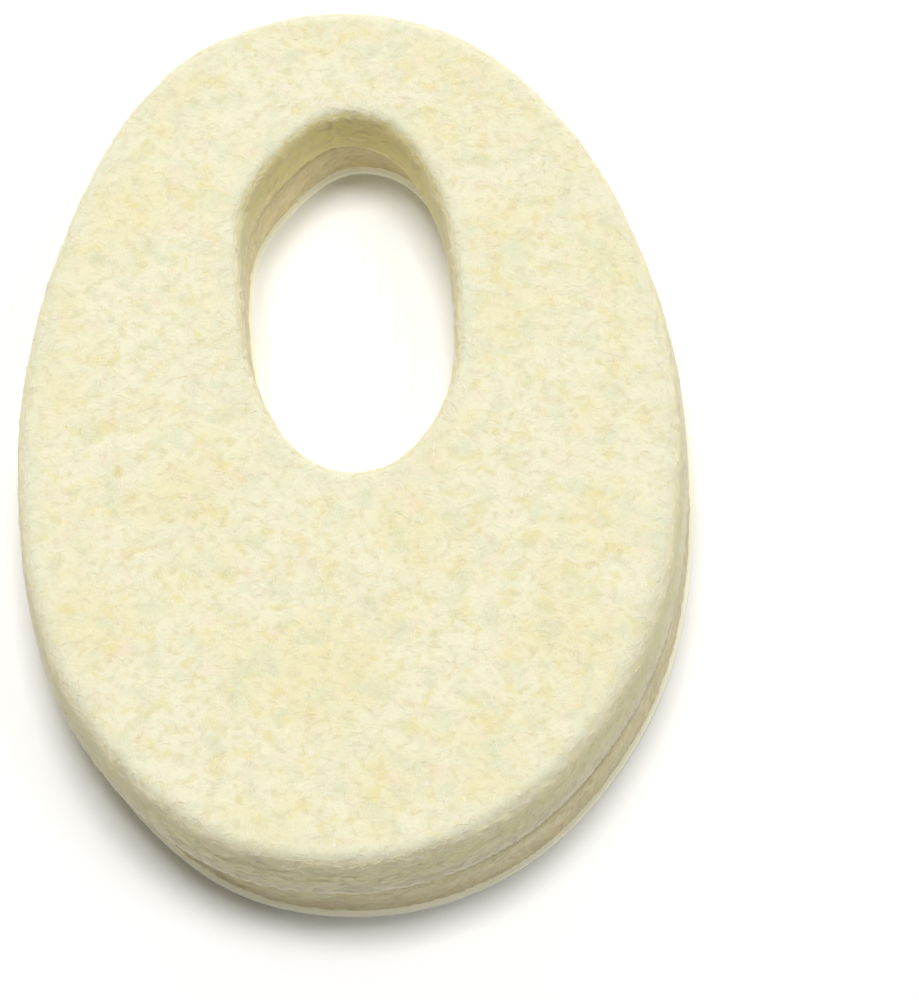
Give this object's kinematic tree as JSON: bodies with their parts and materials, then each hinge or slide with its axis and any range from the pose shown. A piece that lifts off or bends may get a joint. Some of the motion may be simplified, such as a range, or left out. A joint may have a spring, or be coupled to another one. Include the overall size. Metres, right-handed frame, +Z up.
{
  "type": "callus pad",
  "caption": "Egg-shaped cushion pad of laminated cream wool felt with an oval relief hole towards its narrow end and a peel-off liner underneath.",
  "frame": {"origin": "on the floor, under the middle of the pad's bounding box", "axes": "+Y along the pad towards its narrow, holed end, +X across it, +Z up out of the felt's top face"},
  "size_m": [0.0392, 0.0566, 0.0065],
  "materials": {
    "felt": "matte",
    "film": "satin",
    "liner": "satin"
  },
  "bodies": {
    "root": {"upper_felt_ply": "felt", "adhesive_film": "film", "lower_felt_ply": "felt", "release_liner": "liner"}
  },
  "joints": []
}
